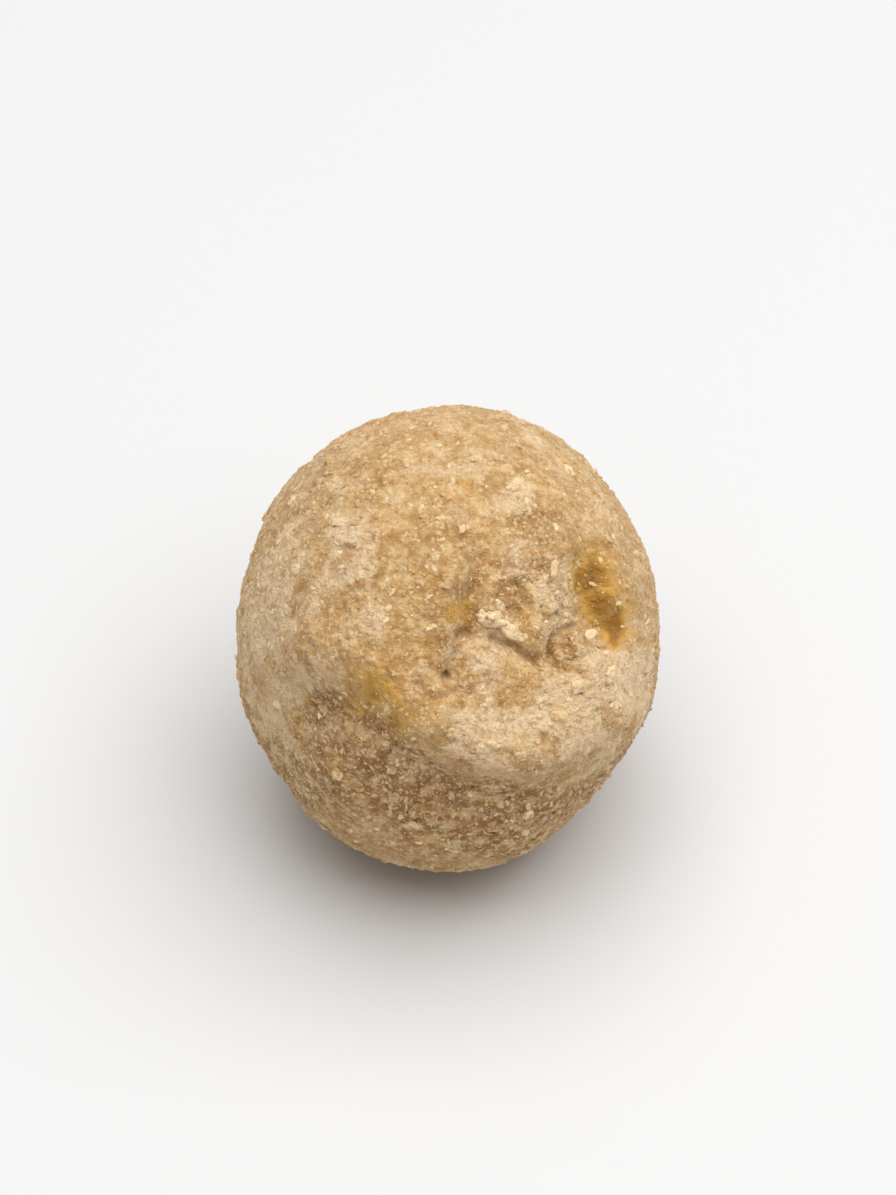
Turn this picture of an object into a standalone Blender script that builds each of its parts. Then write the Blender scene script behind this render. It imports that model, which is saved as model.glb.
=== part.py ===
"""A coconut ladoo: one hand-rolled ball of grainy sweet dough, pinched on its face, resting on a small flat.

Metres, +Z up. The origin is on the resting flat, under the middle of the ball. The pinched face looks
towards -Y and up, by FACE_TILT above level.
"""

import math
import random

import bmesh
import bpy
from mathutils import Matrix, Vector, noise

MM = 0.001

# Driving sizes of the rolled ball, before it is pressed
WIDTH = 35.3 * MM
DEPTH = 38.9 * MM
HEIGHT = 39.2 * MM
RESTING_SAG = 1.25 * MM
FACE_TILT = math.radians(46)

# Palm marks: azimuth from the front towards +X and height above level, in degrees, and the depth pressed in
PALM_MARKS = (
    (56, -22, 0.4 * MM),
    (-6, -5, 0.95 * MM),
    (-48, 0, 0.6 * MM),
    (-128, -8, 0.3 * MM),
    (138, -4, 0.55 * MM),
    (178, -16, 0.3 * MM),
    (-156, 28, 0.3 * MM),
    (24, 84, 0.2 * MM),
    (18, 38, 1.2 * MM),
)
PALM_EDGE = 2.0 * MM

# Broad unevenness of a ball rolled by hand
LUMP_HEIGHT = 0.32 * MM
LUMP_SPAN = 6.5 * MM

# Marks on the pinched face are placed by millimetres to the right and up, looking straight at the face
PINCH_AT = (8.0, 3.8)
PINCH_HALF_SIZE = (8.8, 8.0)
PINCH_TURN = math.radians(-12)
PINCH_DEPTH = 0.9 * MM
PINCH_WALL_STARTS = 0.05
PINCH_RAGGEDNESS = 0.3
TEAR_SPAN = 2.2 * MM
TEAR_SHIFT = 0.5

# Soft rolls and hollows that follow a line: its points, the height (a hollow's is negative) and the half width
SOFT_LINES = (
    # the lip that the pinch pushed out below itself
    (
        ((-10.0, -0.8), (-7.0, -1.6), (-3.2, -4.8), (0.6, -7.9), (6.0, -9.1), (9.4, -8.6), (12.8, -6.2)),
        1.2 * MM,
        2.5,
    ),
    # the hollow under the lip
    (
        ((-12.0, -5.0), (-7.8, -6.4), (-4.6, -9.8), (0.4, -12.9), (6.0, -13.8), (10.4, -12.2)),
        -0.7 * MM,
        2.3,
    ),
    # the edge of the dome, beside the pinch
    (((0.2, 6.5), (-1.2, 2.5), (-1.6, -1.5)), 0.4 * MM, 2.4),
    # the swelling on the left of the dome
    (((-8.0, 10.5), (-6.6, 5.0), (-4.4, -1.0)), 0.3 * MM, 2.2),
    # the trough at the right end of the pinch
    (((11.2, 6.4), (12.2, 4.0), (13.4, 0.8)), -1.15 * MM, 1.5),
    # the valley where the dough folded in, down the edge of the dome and to the right under the loose tongue
    (
        ((2.6, 6.6), (1.7, 3.2), (1.8, 0.8), (4.5, -0.9), (7.8, -1.7), (10.6, -0.2), (13.6, 0.8)),
        -0.6 * MM,
        1.5,
    ),
)

# Narrow cracks: points, depth, half width in millimetres
CRACKS = (
    (((2.3, 4.8), (1.3, 3.0), (1.7, 1.2), (0.9, -0.4), (0.0, -2.9)), 0.75 * MM, 0.6),
    (((3.6, 0.0), (5.2, -0.6), (7.6, -1.9)), 0.75 * MM, 0.38),
    (((-2.4, -3.4), (-0.9, -4.6), (0.6, -4.1)), 0.4 * MM, 0.32),
    (((6.0, 4.8), (6.4, 3.2), (6.1, 2.0)), 0.55 * MM, 0.5),
    (((11.0, 1.0), (9.3, 0.2), (9.0, -0.9), (9.7, -2.8)), 0.65 * MM, 0.45),
    (((5.4, 9.2), (7.2, 9.9), (9.2, 9.5)), 0.35 * MM, 0.6),
    (((10.4, -1.7), (12.0, -1.3), (13.8, -1.0)), 0.45 * MM, 0.32),
    (((-8.2, 7.1), (-6.4, 7.9)), 0.4 * MM, 0.3),
)

LEAST_CRACK_HALF_WIDTH = 0.65

# Pits: middle, half sizes in millimetres, depth
PITS = (
    ((12.6, 3.2), (0.8, 2.2), 0.4 * MM),
    ((-0.1, -3.1), (0.45, 0.4), 0.6 * MM),
    ((1.4, 0.4), (0.9, 1.0), 0.5 * MM),
)

# Clods inside the pinch, and a low crumb all over
CLOD_SIZE = 2.6 * MM
CLOD_RELIEF = 0.42 * MM
CRUMB_SIZE = 1.7 * MM
CRUMB_RELIEF = 0.12 * MM

# Coconut flakes that show one by one: right and up on the face, length, width, turn in degrees, height proud of
# the dough
PLACED_FLAKES = (
    (3.6, 1.6, 3.0, 1.6, -18, 0.5),
    (5.2, 0.7, 3.0, 1.4, -38, 0.55),
    (12.2, 0.2, 1.9, 1.3, 15, 0.6),
    (12.5, -2.8, 1.9, 1.2, 70, 0.5),
    (9.9, -3.6, 1.8, 1.2, 20, 0.5),
    (8.4, -5.9, 2.3, 1.4, -25, 0.35),
    (8.4, 5.6, 2.2, 0.9, 80, 0.35),
    (5.2, 11.5, 2.2, 1.5, 50, 0.35),
    (2.2, 13.4, 1.4, 1.0, 10, 0.35),
    (-7.8, 8.6, 1.9, 1.1, -15, 0.3),
    (-12.0, 10.8, 1.5, 0.9, 35, 0.35),
    (-6.2, 4.6, 1.1, 1.0, 0, 0.35),
    (-8.5, -10.6, 1.3, 1.1, 0, 0.4),
    (-2.6, -14.8, 1.6, 0.8, -20, 0.4),
    (6.2, -13.6, 1.2, 0.8, 40, 0.35),
)
SCATTERED_FLAKES = 74
FLAKE_LENGTHS = (0.9, 1.6)
FLAKE_ASPECT = (0.55, 0.95)
FLAKE_PROUD = (0.17, 0.3)
FLAKE_THICKNESS = 0.75
FLAKE_JITTER = 0.12
FLAKE_SEED = 11
FLAKES_ABOVE = -0.86
FLAKES_APART = math.radians(7)

# Mesh: cuts along each edge of the cube that is rounded into the ball, and how far its points crowd to the pinch
CUTS = 25
CROWDING = 0.22

DOUGH_COLOUR = (0.53, 0.34, 0.16, 1.0)
DOUGH_ROUGHNESS = 0.8

FACE_RIGHT = Vector((1, 0, 0))
FACE_UP = Vector((0, math.sin(FACE_TILT), math.cos(FACE_TILT)))
FACE_OUT = Vector((0, -math.cos(FACE_TILT), math.sin(FACE_TILT)))
HALF_SIZES = Vector((WIDTH, DEPTH, HEIGHT)) / 2


def smoothstep(low, high, value):
    share = min(max((value - low) / (high - low), 0.0), 1.0)
    return share * share * (3 - 2 * share)


def bell(distance, half_width):
    """1 on the line, about a third at half_width from it, and 0 far away."""
    return math.exp(-((distance / half_width) ** 2))


def toward(azimuth, height):
    """Unit vector at an azimuth from the front towards +X and a height above level, in degrees."""
    a, h = math.radians(azimuth), math.radians(height)
    return Vector((math.sin(a) * math.cos(h), -math.cos(a) * math.cos(h), math.sin(h)))


def rolled_reach(direction):
    """Distance from the middle to the ellipsoid that the ball was rolled to."""
    return 1 / math.sqrt(sum((direction[i] / HALF_SIZES[i]) ** 2 for i in range(3)))


def palm_planes():
    """Each palm mark as the direction that it faces and its distance from the middle."""
    for azimuth, height, depth in PALM_MARKS:
        normal = toward(azimuth, height)
        support = math.sqrt(sum((normal[i] * HALF_SIZES[i]) ** 2 for i in range(3)))
        yield normal, support - depth


PALM_PLANES = tuple(palm_planes())


def pressed_reach(direction, reach):
    """The reach with each palm mark cut off as a flat with a rounded edge."""
    for normal, distance in PALM_PLANES:
        facing = direction.dot(normal)
        if facing < 0.5:
            continue
        flat = distance / facing
        blend = max(PALM_EDGE - abs(reach - flat), 0.0) / PALM_EDGE
        reach = min(reach, flat) - blend * blend * PALM_EDGE / 4
    return reach


def lump(direction):
    """Broad unevenness, from -1 to 1."""
    return noise.noise(direction * (WIDTH / 2 / LUMP_SPAN) + Vector((3.1, 7.7, 1.3)))


def distance_to_line(place, points):
    """Distance in the face's plane from a place to a line through points, all in millimetres."""
    nearest = math.inf
    for start, end in zip(points, points[1:]):
        run = (end[0] - start[0], end[1] - start[1])
        off = (place[0] - start[0], place[1] - start[1])
        along = (off[0] * run[0] + off[1] * run[1]) / (run[0] ** 2 + run[1] ** 2)
        along = min(max(along, 0.0), 1.0)
        nearest = min(nearest, math.hypot(off[0] - along * run[0], off[1] - along * run[1]))
    return nearest


def pinch_share(place, point):
    """1 on the floor of the pinch and 0 outside it, with a ragged edge."""
    off_u, off_v = place[0] - PINCH_AT[0], place[1] - PINCH_AT[1]
    cosine, sine = math.cos(PINCH_TURN), math.sin(PINCH_TURN)
    across = (off_u * cosine + off_v * sine) / PINCH_HALF_SIZE[0]
    up = (off_v * cosine - off_u * sine) / PINCH_HALF_SIZE[1]
    ragged = PINCH_RAGGEDNESS * noise.noise(point / (4 * MM) + Vector((9.2, 0.4, 5.5)))
    return 1 - smoothstep(PINCH_WALL_STARTS, 1.0, math.hypot(across, up) + ragged)


def crack_depth(place):
    """How far the cracks sink a place on the face. A crack finer than the mesh is made wider and shallower."""
    sunk = 0.0
    for points, depth, half_width in CRACKS:
        wide = max(half_width, LEAST_CRACK_HALF_WIDTH)
        sunk += depth * half_width / wide * bell(distance_to_line(place, points), wide)
    return sunk


def face_relief(direction, point):
    """How far the marks of the face raise the surface at a point, in metres, and the share of the pinch there."""
    in_front = smoothstep(0.05, 0.3, direction.dot(FACE_OUT))
    if in_front == 0:
        return 0.0, 0.0
    place = (point.dot(FACE_RIGHT) / MM, point.dot(FACE_UP) / MM)
    shift = [TEAR_SHIFT * noise.noise(point / TEAR_SPAN + Vector((5 * i, 5 * i, 5 * i))) for i in range(2)]
    torn = (place[0] + shift[0], place[1] + shift[1])
    share = pinch_share(place, point)
    raised = -PINCH_DEPTH * share
    raised += sum(height * bell(distance_to_line(place, points), half) for points, height, half in SOFT_LINES)
    raised -= crack_depth(torn)
    for middle, half_sizes, depth in PITS:
        off = [(torn[i] - middle[i]) / half_sizes[i] for i in range(2)]
        raised -= depth * (1 - smoothstep(0.45, 1.15, math.hypot(*off)))
    return raised * in_front, share * in_front


def broken(point, size, groove_width=0.3):
    """Relief of packed pieces of one size, about -1 to 1: each is level or tilted, with a groove round it."""
    place = point / size
    place = place + 0.35 * noise.noise_vector(place * 1.4)
    (nearest, second, *_), (middle, *_) = noise.voronoi(place)
    own = noise.cell_vector(middle * 9.7) - Vector((0.5, 0.5, 0.5))
    tilt = (place - middle).dot(own)
    return own.x + 1.3 * tilt + 0.55 * (smoothstep(0.0, groove_width, second - nearest) - 1)


def crumb_relief(point, pinched):
    """Clods inside the pinch and a low crumb all over, in metres."""
    clods = 0.7 * broken(point, CLOD_SIZE)
    crumb = noise.fractal(point / CRUMB_SIZE, 1.0, 2.0, 2)
    return CLOD_RELIEF * clods * pinched + CRUMB_RELIEF * crumb


def surface_point(direction):
    """The ladoo's surface in a direction from its middle."""
    reach = pressed_reach(direction, rolled_reach(direction))
    reach += LUMP_HEIGHT * lump(direction)
    raised, pinched = face_relief(direction, direction * reach)
    reach += raised
    return direction * (reach + crumb_relief(direction * reach, pinched))


def face_direction(place):
    """The direction from the middle to a place on the face, given in millimetres to the right and up."""
    u, v = place[0] * MM, place[1] * MM
    out = math.sqrt((WIDTH / 2) ** 2 - min(u * u + v * v, (WIDTH / 2) ** 2 * 0.96))
    return (FACE_RIGHT * u + FACE_UP * v + FACE_OUT * out).normalized()


PINCH_DIRECTION = face_direction(PINCH_AT)


def crowded(direction):
    """The direction moved a little towards the pinch, so that the mesh is finer there."""
    angle = direction.angle(PINCH_DIRECTION)
    axis = direction.cross(PINCH_DIRECTION)
    if axis.length < 1e-6:
        return direction
    return Matrix.Rotation(CROWDING * math.sin(angle), 3, axis.normalized()) @ direction


def rolled_dough():
    """The ball of dough: a cube's even grid rounded, with every point moved to the surface, and a flat to rest on."""
    mesh = bmesh.new()
    bmesh.ops.create_cube(mesh, size=2)
    bmesh.ops.subdivide_edges(mesh, edges=mesh.edges[:], cuts=CUTS, use_grid_fill=True)
    for vertex in mesh.verts:
        even = Vector([math.tan(side * math.pi / 4) for side in vertex.co])
        vertex.co = surface_point(crowded(even.normalized()))
    lowest = min(vertex.co.z for vertex in mesh.verts) + RESTING_SAG
    cut = bmesh.ops.bisect_plane(
        mesh,
        geom=mesh.verts[:] + mesh.edges[:] + mesh.faces[:],
        plane_co=(0, 0, lowest),
        plane_no=(0, 0, -1),
        clear_outer=True,
        dist=0.02 * MM,
    )
    rim = [part for part in cut["geom_cut"] if isinstance(part, bmesh.types.BMEdge)]
    bmesh.ops.contextual_create(mesh, geom=rim)
    bmesh.ops.triangulate(mesh, faces=mesh.faces[:], quad_method="SHORT_EDGE")
    bmesh.ops.recalc_face_normals(mesh, faces=mesh.faces[:])
    return as_object(mesh, "ladoo")


def as_object(mesh, name, collection=None):
    """The bmesh as an object at the origin, in the collection or in the scene."""
    data = bpy.data.meshes.new(name)
    mesh.to_mesh(data)
    mesh.free()
    made = bpy.data.objects.new(name, data)
    (collection or bpy.context.scene.collection).objects.link(made)
    return made


def flake(direction, sizes, turn, proud, draw, collection, index):
    """One flake of coconut, pressed into the dough so that it stands proud of it."""
    length, width = sizes
    middle = surface_point(direction)
    beside = FACE_RIGHT - direction * direction.dot(FACE_RIGHT)
    if beside.length < 0.1:
        beside = FACE_UP - direction * direction.dot(FACE_UP)
    beside.normalize()
    frame = Matrix((beside, direction.cross(beside), direction)).transposed().to_4x4()
    mesh = bmesh.new()
    bmesh.ops.create_icosphere(mesh, subdivisions=1, radius=0.5)
    thickness = FLAKE_THICKNESS * width
    for vertex in mesh.verts:
        vertex.co *= draw.uniform(0.85, 1.15)
        vertex.co = Vector((vertex.co.x * length, vertex.co.y * width, vertex.co.z * thickness)) * MM
    sunk = middle + direction * (proud - thickness / 2) * MM
    spin = Matrix.Rotation(turn, 4, "Z")
    mesh.transform(Matrix.Translation(sunk) @ frame @ spin)
    return as_object(mesh, f"flake_{index}", collection)


def scattered_directions(draw):
    """Directions spread evenly over the ball on a golden-angle spiral, each a little off its place."""
    golden = math.pi * (3 - math.sqrt(5))
    for index in range(SCATTERED_FLAKES):
        height = 1 - 2 * (index + 0.5) / SCATTERED_FLAKES
        ring = math.sqrt(1 - height * height)
        even = Vector((math.cos(golden * index) * ring, math.sin(golden * index) * ring, height))
        jitter = Vector([draw.uniform(-FLAKE_JITTER, FLAKE_JITTER) for _ in range(3)])
        direction = (even + jitter).normalized()
        if direction.z > FLAKES_ABOVE:
            yield direction


def far_from(direction, taken):
    return all(direction.angle(other) > FLAKES_APART for other in taken)


def add_flakes(dough):
    """Presses the flakes into the dough with one Boolean union, so that all is one solid."""
    draw = random.Random(FLAKE_SEED)
    collection = bpy.data.collections.new("flakes")
    bpy.context.scene.collection.children.link(collection)
    taken = []
    for u, v, length, width, turn, proud in PLACED_FLAKES:
        taken.append(face_direction((u, v)))
        flake(taken[-1], (length, width), math.radians(turn), proud, draw, collection, len(taken))
    for direction in scattered_directions(draw):
        if far_from(direction, taken):
            length = draw.uniform(*FLAKE_LENGTHS)
            width = length * draw.uniform(*FLAKE_ASPECT)
            proud = draw.uniform(*FLAKE_PROUD)
            taken.append(direction)
            flake(direction, (length, width), draw.uniform(0, math.tau), proud, draw, collection, len(taken))
    union = dough.modifiers.new("press_flakes_in", "BOOLEAN")
    union.operation = "UNION"
    union.operand_type = "COLLECTION"
    union.collection = collection
    union.solver = "EXACT"
    graph = bpy.context.evaluated_depsgraph_get()
    joined = bpy.data.meshes.new_from_object(dough.evaluated_get(graph))
    dough.modifiers.remove(union)
    dough.data = joined
    for piece in list(collection.objects):
        bpy.data.objects.remove(piece)
    bpy.data.collections.remove(collection)


def stand_on_origin(dough):
    """Moves the mesh so that its resting flat is at Z 0 and its box is centred over the origin."""
    points = [vertex.co for vertex in dough.data.vertices]
    low = Vector([min(point[i] for point in points) for i in range(3)])
    high = Vector([max(point[i] for point in points) for i in range(3)])
    middle = (low + high) / 2
    dough.data.transform(Matrix.Translation((-middle.x, -middle.y, -low.z)))


def dough_material():
    """A plain matt tan for the whole solid."""
    material = bpy.data.materials.new("dough")
    material.use_nodes = True
    shader = material.node_tree.nodes["Principled BSDF"]
    shader.inputs["Base Color"].default_value = DOUGH_COLOUR
    shader.inputs["Roughness"].default_value = DOUGH_ROUGHNESS
    shader.inputs["Metallic"].default_value = 0.0
    return material


def main():
    for old in list(bpy.data.objects):
        bpy.data.objects.remove(old)
    dough = rolled_dough()
    add_flakes(dough)
    stand_on_origin(dough)
    dough.data.materials.clear()
    dough.data.materials.append(dough_material())
    dough.data.shade_smooth()


main()
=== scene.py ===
# %% [markdown]
# # A coconut ladoo
#
# A ladoo is a sweet that is rolled in the hands: grated coconut, cooked down with milk and jaggery to a stiff,
# grainy dough, is pressed into a ball while it is warm. It dries to a matt, floury skin. This one has a smooth
# dome where it turned in the palm, and a place on its face where it was pinched shut, which tore a little.
#
# The lesson builds its looks in four layers, from large to small: the form of the ball, the torn dough of the
# pinch, the bits of coconut that show one by one, and the meal that lies on everything. The form is measured
# from the imported part, which is loaded first and fixes the place.

# %% Load the part
import math
import random

import bmesh
import bpy
from mathutils import Matrix, Vector, noise
from mathutils.bvhtree import BVHTree


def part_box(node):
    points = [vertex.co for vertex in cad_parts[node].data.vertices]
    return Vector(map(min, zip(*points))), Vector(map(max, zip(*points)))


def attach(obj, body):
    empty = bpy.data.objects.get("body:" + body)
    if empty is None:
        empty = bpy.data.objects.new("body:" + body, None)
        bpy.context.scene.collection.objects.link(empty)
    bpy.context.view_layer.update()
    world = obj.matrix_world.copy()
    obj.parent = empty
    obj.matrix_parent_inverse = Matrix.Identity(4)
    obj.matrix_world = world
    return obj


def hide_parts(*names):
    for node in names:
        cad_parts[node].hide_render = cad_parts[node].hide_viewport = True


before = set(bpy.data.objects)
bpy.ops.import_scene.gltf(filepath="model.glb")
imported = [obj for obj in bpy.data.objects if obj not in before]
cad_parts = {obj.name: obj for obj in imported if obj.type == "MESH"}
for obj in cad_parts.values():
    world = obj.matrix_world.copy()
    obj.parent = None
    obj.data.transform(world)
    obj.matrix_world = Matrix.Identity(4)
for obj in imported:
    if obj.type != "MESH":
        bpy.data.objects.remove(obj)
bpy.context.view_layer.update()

MM = 0.001
part_low, part_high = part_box("ladoo")
print("the part's box in mm:", [round(side / MM, 2) for side in part_high - part_low])

# %% [markdown]
# ## The camera
#
# The sweet is seen from above its front, 46 degrees over the table, from about an arm's length. The lens is
# long, so that one small ball fills the middle of the picture, while the distance keeps the gentle perspective
# of the real view. The camera is made first, because it decides how fine the detail has to be.

# %% Camera
VIEW_HEIGHT = math.radians(46)
CAMERA_DISTANCE = 420 * MM
PICTURE_HEIGHT = 100 * MM
LONG_SIDE_OF_SENSOR = 36.0
AIM_ABOVE_MIDDLE = 3 * MM

camera_data = bpy.data.cameras.new("camera")
camera_data.sensor_width = LONG_SIDE_OF_SENSOR
camera_data.lens = LONG_SIDE_OF_SENSOR * CAMERA_DISTANCE / PICTURE_HEIGHT
camera_data.clip_start = 10 * MM
camera_data.clip_end = 20.0
camera = bpy.data.objects.new("camera", camera_data)
bpy.context.scene.collection.objects.link(camera)
bpy.context.scene.camera = camera

view_out = Vector((0, -math.cos(VIEW_HEIGHT), math.sin(VIEW_HEIGHT)))
view_up = Vector((0, math.sin(VIEW_HEIGHT), math.cos(VIEW_HEIGHT)))
aim = (part_low + part_high) / 2 + view_up * AIM_ABOVE_MIDDLE
camera.location = aim + view_out * CAMERA_DISTANCE
camera.rotation_euler = view_out.to_track_quat("Z", "Y").to_euler()
print("lens in mm:", round(camera_data.lens, 1))

# %% [markdown]
# ## The form of the ball
#
# A rolled ball is never a sphere. It is a little longer one way, the palms leave shallow flats with soft edges
# between them, and the dough between the flats swells unevenly. Sculpting would give this by eye, but a rule
# repeats: every point of the skin is a direction from the middle and a distance, the reach, and each mark of
# the hand changes that distance.

# %% Sizes of the rolled ball
WIDTH = 35.3 * MM
DEPTH = 38.9 * MM
HEIGHT = 39.2 * MM
HALF_SIZES = Vector((WIDTH, DEPTH, HEIGHT)) / 2
RESTING_SAG = 1.25 * MM

# Palm marks: azimuth from the front towards +X and height above level, in degrees, and the depth pressed in
PALM_MARKS = (
    (56, -22, 0.4 * MM),
    (-6, -5, 0.95 * MM),
    (-48, 0, 0.6 * MM),
    (-128, -8, 0.3 * MM),
    (138, -4, 0.55 * MM),
    (178, -16, 0.3 * MM),
    (-156, 28, 0.3 * MM),
    (24, 84, 0.2 * MM),
    (18, 38, 1.2 * MM),
)
PALM_EDGE = 2.0 * MM
LUMP_HEIGHT = 0.32 * MM
LUMP_SPAN = 6.5 * MM


def smoothstep(low, high, value):
    share = min(max((value - low) / (high - low), 0.0), 1.0)
    return share * share * (3 - 2 * share)


def bell(distance, half_width):
    """1 on a line, about a third at half_width from it, and 0 far away."""
    return math.exp(-((distance / half_width) ** 2))


def toward(azimuth, height):
    """Unit vector at an azimuth from the front towards +X and a height above level, in degrees."""
    a, h = math.radians(azimuth), math.radians(height)
    return Vector((math.sin(a) * math.cos(h), -math.cos(a) * math.cos(h), math.sin(h)))


def rolled_reach(direction):
    """Distance from the middle to the ellipsoid that the ball was rolled to."""
    return 1 / math.sqrt(sum((direction[i] / HALF_SIZES[i]) ** 2 for i in range(3)))


def palm_planes():
    """Each palm mark as the direction that it faces and its distance from the middle."""
    for azimuth, height, depth in PALM_MARKS:
        normal = toward(azimuth, height)
        support = math.sqrt(sum((normal[i] * HALF_SIZES[i]) ** 2 for i in range(3)))
        yield normal, support - depth


PALM_PLANES = tuple(palm_planes())


def pressed_reach(direction, reach):
    """The reach with each palm mark cut off as a flat with a rounded edge."""
    for normal, distance in PALM_PLANES:
        facing = direction.dot(normal)
        if facing < 0.5:
            continue
        flat = distance / facing
        blend = max(PALM_EDGE - abs(reach - flat), 0.0) / PALM_EDGE
        reach = min(reach, flat) - blend * blend * PALM_EDGE / 4
    return reach


def lump(direction):
    """Broad unevenness, from -1 to 1."""
    return noise.noise(direction * (WIDTH / 2 / LUMP_SPAN) + Vector((3.1, 7.7, 1.3)))


print("palm marks:", len(PALM_PLANES))

# %% [markdown]
# ## The pinched face
#
# The thumb pushed a hollow into the face, right of its middle. The dough that it moved stands up as a lip below
# the hollow and as a soft edge beside it, and it cracked where it folded. These marks are placed as one would
# point at them: so many millimetres to the right and up, looking straight at the face.

# %% Marks on the face
FACE_TILT = VIEW_HEIGHT
FACE_RIGHT = Vector((1, 0, 0))
FACE_UP = Vector((0, math.sin(FACE_TILT), math.cos(FACE_TILT)))
FACE_OUT = Vector((0, -math.cos(FACE_TILT), math.sin(FACE_TILT)))

PINCH_AT = (8.0, 3.8)
PINCH_HALF_SIZE = (8.8, 8.0)
PINCH_TURN = math.radians(-12)
PINCH_DEPTH = 0.9 * MM
PINCH_WALL_STARTS = 0.05
PINCH_RAGGEDNESS = 0.3
TEAR_SPAN = 2.2 * MM
TEAR_SHIFT = 0.5

# Soft rolls and hollows that follow a line: its points, the height (a hollow's is negative) and the half width
SOFT_LINES = (
    # the lip that the pinch pushed out below itself
    (
        ((-10.0, -0.8), (-7.0, -1.6), (-3.2, -4.8), (0.6, -7.9), (6.0, -9.1), (9.4, -8.6), (12.8, -6.2)),
        1.2 * MM,
        2.5,
    ),
    # the hollow under the lip
    (
        ((-12.0, -5.0), (-7.8, -6.4), (-4.6, -9.8), (0.4, -12.9), (6.0, -13.8), (10.4, -12.2)),
        -0.7 * MM,
        2.3,
    ),
    # the edge of the dome, beside the pinch
    (((0.2, 6.5), (-1.2, 2.5), (-1.6, -1.5)), 0.4 * MM, 2.4),
    # the swelling on the left of the dome
    (((-8.0, 10.5), (-6.6, 5.0), (-4.4, -1.0)), 0.3 * MM, 2.2),
    # the trough at the right end of the pinch
    (((11.2, 6.4), (12.2, 4.0), (13.4, 0.8)), -1.15 * MM, 1.5),
    # the valley where the dough folded in, down the edge of the dome and to the right under the loose tongue
    (
        ((2.6, 6.6), (1.7, 3.2), (1.8, 0.8), (4.5, -0.9), (7.8, -1.7), (10.6, -0.2), (13.6, 0.8)),
        -0.6 * MM,
        1.5,
    ),
)

# Narrow cracks: points, depth, half width in millimetres
CRACKS = (
    (((2.3, 4.8), (1.3, 3.0), (1.7, 1.2), (0.9, -0.4), (0.0, -2.9)), 0.75 * MM, 0.6),
    (((3.6, 0.0), (5.2, -0.6), (7.6, -1.9)), 0.75 * MM, 0.38),
    (((-2.4, -3.4), (-0.9, -4.6), (0.6, -4.1)), 0.4 * MM, 0.32),
    (((6.0, 4.8), (6.4, 3.2), (6.1, 2.0)), 0.55 * MM, 0.5),
    (((11.0, 1.0), (9.3, 0.2), (9.0, -0.9), (9.7, -2.8)), 0.65 * MM, 0.45),
    (((5.4, 9.2), (7.2, 9.9), (9.2, 9.5)), 0.35 * MM, 0.6),
    (((10.4, -1.7), (12.0, -1.3), (13.8, -1.0)), 0.45 * MM, 0.32),
    (((-8.2, 7.1), (-6.4, 7.9)), 0.4 * MM, 0.3),
)

# Pits: middle, half sizes in millimetres, depth
PITS = (
    ((12.6, 3.2), (0.8, 2.2), 0.4 * MM),
    ((-0.1, -3.1), (0.45, 0.4), 0.6 * MM),
    ((1.4, 0.4), (0.9, 1.0), 0.5 * MM),
)


def distance_to_line(place, points):
    """Distance in the face's plane from a place to a line through points, all in millimetres."""
    nearest = math.inf
    for start, end in zip(points, points[1:]):
        run = (end[0] - start[0], end[1] - start[1])
        off = (place[0] - start[0], place[1] - start[1])
        along = (off[0] * run[0] + off[1] * run[1]) / (run[0] ** 2 + run[1] ** 2)
        along = min(max(along, 0.0), 1.0)
        nearest = min(nearest, math.hypot(off[0] - along * run[0], off[1] - along * run[1]))
    return nearest


def pinch_share(place, point):
    """1 on the floor of the pinch and 0 outside it, with a ragged edge."""
    off_u, off_v = place[0] - PINCH_AT[0], place[1] - PINCH_AT[1]
    cosine, sine = math.cos(PINCH_TURN), math.sin(PINCH_TURN)
    across = (off_u * cosine + off_v * sine) / PINCH_HALF_SIZE[0]
    up = (off_v * cosine - off_u * sine) / PINCH_HALF_SIZE[1]
    ragged = PINCH_RAGGEDNESS * noise.noise(point / (4 * MM) + Vector((9.2, 0.4, 5.5)))
    return 1 - smoothstep(PINCH_WALL_STARTS, 1.0, math.hypot(across, up) + ragged)


def place_on_face(point):
    """A point's millimetres to the right and up on the face."""
    return point.dot(FACE_RIGHT) / MM, point.dot(FACE_UP) / MM


def face_relief(direction, point):
    """How far the marks of the face raise the surface, in metres, and the shares of pinch and of crack there."""
    in_front = smoothstep(0.05, 0.3, direction.dot(FACE_OUT))
    if in_front == 0:
        return 0.0, 0.0, 0.0
    place = place_on_face(point)
    shift = [TEAR_SHIFT * noise.noise(point / TEAR_SPAN + Vector((5 * i, 5 * i, 5 * i))) for i in range(2)]
    torn = (place[0] + shift[0], place[1] + shift[1])
    pinched = pinch_share(place, point) * in_front
    raised = -PINCH_DEPTH * pinched
    for points, height, half_width in SOFT_LINES:
        raised += in_front * height * bell(distance_to_line(place, points), half_width)
    sunk = 0.0
    for points, depth, half_width in CRACKS:
        sunk += depth * bell(distance_to_line(torn, points), half_width)
    for middle, half_sizes, depth in PITS:
        off = [(torn[i] - middle[i]) / half_sizes[i] for i in range(2)]
        sunk += depth * (1 - smoothstep(0.45, 1.15, math.hypot(*off)))
    return raised - sunk * in_front, pinched, min(sunk / MM, 1.0) * in_front


# %% [markdown]
# ## Torn dough and packed meal
#
# Up close the dough is packed coconut meal. Where it was only rolled, the grains lie pressed flat into each
# other. Where it tore, it broke into clods with clean, tilted sides. Voronoi cells describe both: each cell is
# one grain or one clod, with its own height and its own tilt, and a groove runs where two cells meet.

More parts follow.
